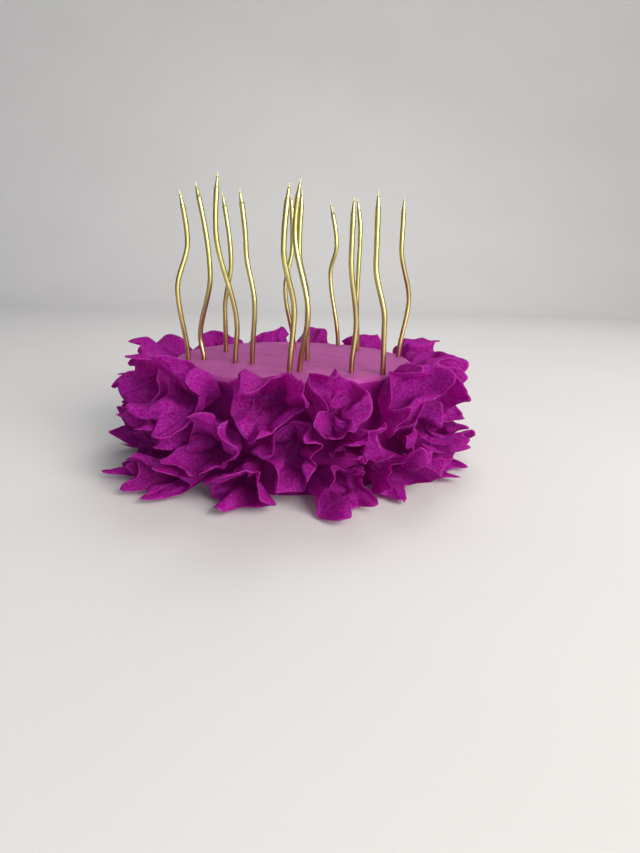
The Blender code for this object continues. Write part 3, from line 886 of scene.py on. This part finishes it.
def thick_sheet(points, faces, rim, thickness):
    """Moves the points half the thickness to each side along their normals, and closes the edge.

    The thickness is one number, or a column with one for each point.
    """
    count = len(points)
    after = np.roll(rim, -1)
    all_faces = np.concatenate([
        faces,
        faces[:, ::-1] + count,
        np.stack([rim, rim + count, after + count], axis=-1),
        np.stack([rim, after + count, after], axis=-1),
    ])
    offset = sheet_normals(points, faces) * thickness / 2
    return np.concatenate([points + offset, points - offset]), all_faces


print("3 rings of 4 points round a pinch have", len(sheet_faces(3, 4)[0]), "triangles")

# %% [markdown]
# A hand that presses paper also leaves shallow crumples, flat faces a centimetre or so wide. A
# bump in the material would give them shade but no outline, so they are moved points: each point
# rises with its distance to the nearest of some scattered ones.

# %% Small crumples
CRUMPLES = 26
CRUMPLE_DEPTH = 0.0015
CRUMPLED_FROM = 0.015  # the relief grows from nothing at the pinch to its full depth here


def crumple_relief(flat, half, draw):
    """Height over the sheet, from the distance to the nearest of some scattered points.

    That is a field of cones, which meet along straight lines as the faces of crumpled paper do.
    """
    scattered = draw.uniform(-half, half, (CRUMPLES, 2))
    nearest = np.linalg.norm(flat[:, None] - scattered, axis=2).min(axis=1)
    grown = np.clip(np.linalg.norm(flat, axis=1) / CRUMPLED_FROM, 0, 1)
    return grown * CRUMPLE_DEPTH * (nearest / nearest.mean() - 1)


sample = np.random.default_rng(0).uniform(-HALF_SQUARE[0], HALF_SQUARE[0], (500, 2))
relief = crumple_relief(sample, HALF_SQUARE[0], np.random.default_rng(1))
print("crumples rise and sink by up to, mm:", round(1000 * float(np.abs(relief).max()), 1))

# %% [markdown]
# Paper bends and creases but doesn't stretch, while turned balls of space do stretch what is in
# them. So each sheet is eased at the end: every edge between two neighbouring points that came out
# much longer than it is in the flat square pulls its ends together a little, again and again.

# %% Paper can't stretch
LONGEST = 1.15  # times its length in the flat square
PULLS = 60
PULL = 0.12


def unstretched(points, flat, faces):
    """Pulls together the ends of each edge that is too much longer than in the flat square.

    The pinch, point 0, is held by the icing. Each pull moves both ends by a share of the excess.
    """
    edges = np.concatenate([faces[:, :2], faces[:, 1:], faces[:, ::2]])
    edges = np.unique(np.sort(edges, axis=1), axis=0)
    one, other = edges[:, 0], edges[:, 1]
    longest = LONGEST * np.linalg.norm(flat[one] - flat[other], axis=1) + 1e-5
    points = points.copy()
    for _ in range(PULLS):
        arms = points[other] - points[one]
        lengths = np.linalg.norm(arms, axis=1)
        pull = (PULL * np.clip(lengths - longest, 0, None) / lengths)[:, None] * arms
        shift = np.zeros_like(points)
        np.add.at(shift, one, pull)
        np.add.at(shift, other, -pull)
        shift[0] = 0
        points += shift
    return points


print("an edge may be", LONGEST, "times as long as in the flat square")

# %% [markdown]
# Too strong a turn next to a wall of its room would push one sheet into another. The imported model
# looked for crossings on its coarse sheets and made the turns near each of them weaker, until there
# were none. The same loop runs here, so that the fine sheets are crumpled by the same turns.

# %% Calm the turns until no coarse sheet crosses another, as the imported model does
def crossings(solids, faces):
    """One point for each place where sheets cut each other or themselves, and the latter's numbers."""
    corners = [tuple(int(corner) for corner in face) for face in faces]
    trees = [BVHTree.FromPolygons([tuple(point) for point in solid], corners) for solid in solids]
    lows = [solid.min(axis=0) for solid in solids]
    highs = [solid.max(axis=0) for solid in solids]
    places = []
    self_cut = set()
    for one in range(len(solids)):
        pairs = trees[one].overlap(trees[one])
        hits = [a for a, b in pairs if a < b and not set(corners[a]) & set(corners[b])]
        if hits:
            self_cut.add(one)
        for other in range(one + 1, len(solids)):
            if (lows[one] < highs[other]).all() and (lows[other] < highs[one]).all():
                hits += [a for a, b in trees[one].overlap(trees[other])]
        places += [solids[one][faces[hit]].mean(axis=0) for hit in hits]
    return np.array(places).reshape(-1, 3), self_cut


coarse_angles = math.pi / 4 + 2 * math.pi * np.arange(SHEET_ANGLES) / SHEET_ANGLES
coarse_angle, coarse_step = np.meshgrid(coarse_angles, SHEET_STEPS)
coarse_faces, coarse_rim = sheet_faces(len(SHEET_STEPS), SHEET_ANGLES)
rooms = [room_walls(number, ROOM_GAP) for number in range(len(petals))]
for calming_round in range(CALMING_ROUNDS):
    solids = []
    for petal, room in zip(petals, rooms):
        along = coarse_step * paper_reach(petal, coarse_angle)
        rings = sheet_points(petal, room, coarse_angle, along).reshape(-1, 3)
        sheet = crumpled(np.concatenate([petal.pinch[None], rings]), turns)
        solids.append(thick_sheet(sheet, coarse_faces, coarse_rim, PAPER))
    places, self_cut = crossings([points for points, _ in solids], solids[0][1])
    if not len(places):
        break
    for number in self_cut:
        petals[number].folds *= EASING
    for number, (centre, radius, axis, angle) in enumerate(turns):
        if (np.linalg.norm(places - centre, axis=1) < 0.9 * radius).any():
            turns[number] = (centre, radius, axis, CALMING * angle)

worst = max(
    float(np.abs(np.concatenate([points.min(axis=0), points.max(axis=0)])
                 - np.concatenate(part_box(petal.name))).max())
    for petal, (points, _) in zip(petals, solids)
)
print("calm after", calming_round, "rounds")
print("furthest from the packed solids, mm:", round(1000 * worst, 3))

# %% [markdown]
# Now the same sheets once more, on a grid of 26 by 112 points each, with their creases, curls and
# crumples. They open wider inside their rooms than the solids do, and the top row at the back
# opens widest, because from the front it is seen only above the icing. The cut edge is thinner
# than the sheet, which makes it look as fine as real paper. No sheet cuts another, but creases and
# crumples have a price: in tight folds, on about 4 % of the paper, a sheet passes through itself.

# %% Make the petals
FINE_ANGLES = 112
FINE_STEPS = 26
FINE_GAP = 0.0007
FINE_PAPER = 0.0004
CUT_EDGE = 0.3  # share of the thickness that is left at the cut edge
BACK_OPENER = 0.2
DRAW_SEED = 500

fine_angles = math.pi / 4 + 2 * math.pi * np.arange(FINE_ANGLES) / FINE_ANGLES
fine_steps = np.linspace(0.03, 1, FINE_STEPS)
fine_angle, fine_step = (values.ravel() for values in np.meshgrid(fine_angles, fine_steps))
fine_faces, fine_rim = sheet_faces(FINE_STEPS, FINE_ANGLES)
step_values = np.concatenate([[0.0], np.repeat(fine_steps, FINE_ANGLES)])
angle_values = np.concatenate([[0.0], np.tile(np.arange(FINE_ANGLES) / FINE_ANGLES, FINE_STEPS)])
sheet_uv = np.tile(np.stack([step_values, angle_values], axis=-1), (2, 1))
thickness = FINE_PAPER * np.where(step_values > 0.99, CUT_EDGE, 1.0)[:, None]
for number, petal in enumerate(petals):
    draw = np.random.default_rng(DRAW_SEED + number)
    room = room_walls(number, FINE_GAP)
    along = fine_step * paper_reach(petal, fine_angle, CORNER_SHARPNESS)
    at_back = max(petal.out[1], 0.0) if "top" in petal.name else 0.0
    rings = creased_sheet(petal, room, fine_angle, along, OPENER + BACK_OPENER * at_back, draw)
    flat = np.concatenate([[[0.0, 0.0]], np.stack([
        along * np.cos(fine_angle), along * np.sin(fine_angle),
    ], axis=-1)])
    sheet = crumpled(np.concatenate([petal.pinch[None], rings]), turns + curls)
    sheet = unstretched(sheet, flat, fine_faces)
    relief = crumple_relief(flat, petal.half, draw)[:, None]
    sheet = sheet + relief * sheet_normals(sheet, fine_faces)
    points, faces = thick_sheet(sheet, fine_faces, fine_rim, thickness)
    add_piece(petal.name.replace("petal", "paper"), points, faces.tolist(), [paper],
              petal.name, sheet=sheet_uv)
print("petals:", len(petals), "with", len(faces), "triangles each")

# %% [markdown]
# ## Floor and light
#
# The studio is a pale sheet that lies flat and sweeps up behind the cake, so no edge shows. The
# main light is a big soft window behind the photographer and to the right. A wider and weaker one
# beside it softens the shadows, and a third from behind and above picks out the far rim. The room
# fills the rest: bright behind the photographer, dimmer behind the cake and dark on both flanks. A
# metal needs such differences, or its roundness is lost.

# %% Floor
pale, tree, output = new_material("matt_card")
place = add_node(tree, "ShaderNodeTexCoord").outputs["Object"]
fibre = add_node(tree, "ShaderNodeTexNoise", {"Vector": place, "Scale": 6.0, "Detail": 2.0})
card = add_node(tree, "ShaderNodeMix",
                {0: fibre.outputs["Fac"], 6: linear("#c3c2c1"), 7: linear("#c9c8c7")},
                data_type="RGBA")
surface = add_node(tree, "ShaderNodeBsdfPrincipled",
                   {"Base Color": card.outputs[2], "Roughness": 0.9, "Specular IOR Level": 0.2})
tree.links.new(surface.outputs[0], output.inputs["Surface"])

FLOOR_FRONT = -2.5
BEND_STARTS = 1.1
BEND_RADIUS = 0.6
WALL_TOP = 2.6
FLOOR_HALF_WIDTH = 3.0
bend = np.linspace(0, math.pi / 2, 24)
depth = np.concatenate([
    [FLOOR_FRONT], BEND_STARTS + BEND_RADIUS * np.sin(bend), [BEND_STARTS + BEND_RADIUS],
])
lift = np.concatenate([[0.0], BEND_RADIUS * (1 - np.cos(bend)), [WALL_TOP]])
across = np.array([-FLOOR_HALF_WIDTH, FLOOR_HALF_WIDTH])
sweep = np.stack([
    np.repeat(across, len(depth)), np.tile(depth, 2), np.tile(lift, 2),
], axis=-1)
mesh = bpy.data.meshes.new("studio_floor")
strips = [(k, k + len(depth), k + len(depth) + 1, k + 1) for k in range(len(depth) - 1)]
mesh.from_pydata(sweep.tolist(), [], strips)
mesh.shade_smooth()
mesh.materials.append(pale)
floor = bpy.data.objects.new("studio_floor", mesh)
bpy.context.scene.collection.objects.link(floor)
print("floor:", len(strips), "strips")

# %% Lights
LIT_POINT = Vector((0, 0, 0.06))
LIGHTS = [
    # place, width, power in watts, colour
    ((0.95, -1.2, 0.8), 1.0, 42.0, "#fffaf2"),
    ((0.6, -1.5, 0.4), 1.7, 8.0, "#fbf8ff"),
    ((0.3, 0.8, 1.3), 0.8, 9.0, "#ffffff"),
]
for spot, width, power, colour in LIGHTS:
    lamp = bpy.data.lights.new("softbox", "AREA")
    lamp.size = width
    lamp.energy = power
    lamp.color = linear(colour)[:3]
    holder = bpy.data.objects.new("softbox", lamp)
    aim = (LIT_POINT - Vector(spot)).to_track_quat("-Z", "Y")
    holder.matrix_world = Matrix.Translation(spot) @ aim.to_matrix().to_4x4()
    bpy.context.scene.collection.objects.link(holder)

# The strength for the room's length and the one for its flanks are multiplied
world = bpy.data.worlds.new("studio")
world.use_nodes = True
tree = world.node_tree
direction = add_node(tree, "ShaderNodeSeparateXYZ",
                     {0: add_node(tree, "ShaderNodeTexCoord").outputs["Generated"]})
strength = add_node(tree, "ShaderNodeMapRange",
                    {"Value": direction.outputs["Y"], "From Min": -1.0, "From Max": 0.2,
                     "To Min": 1.0, "To Max": 0.4})
aside = add_node(tree, "ShaderNodeMath", {0: direction.outputs["X"]}, operation="ABSOLUTE")
flank = add_node(tree, "ShaderNodeMapRange",
                 {"Value": aside.outputs[0], "From Min": 0.35, "From Max": 0.8,
                  "To Min": 1.0, "To Max": 0.25})
room_light = add_node(tree, "ShaderNodeMath", {0: strength.outputs[0], 1: flank.outputs[0]},
                      operation="MULTIPLY")
# Where the room itself is in the picture, it is as pale as the card
straight_to_lens = add_node(tree, "ShaderNodeLightPath").outputs["Is Camera Ray"]
seen = add_node(tree, "ShaderNodeMapRange",
                {"Value": straight_to_lens, "To Min": room_light.outputs[0], "To Max": 0.65})
tree.nodes["Background"].inputs["Color"].default_value = linear("#e6e8ee")
tree.links.new(seen.outputs[0], tree.nodes["Background"].inputs["Strength"])
bpy.context.scene.world = world
bpy.context.scene.view_settings.view_transform = "Standard"
print(len(LIGHTS), "softboxes")
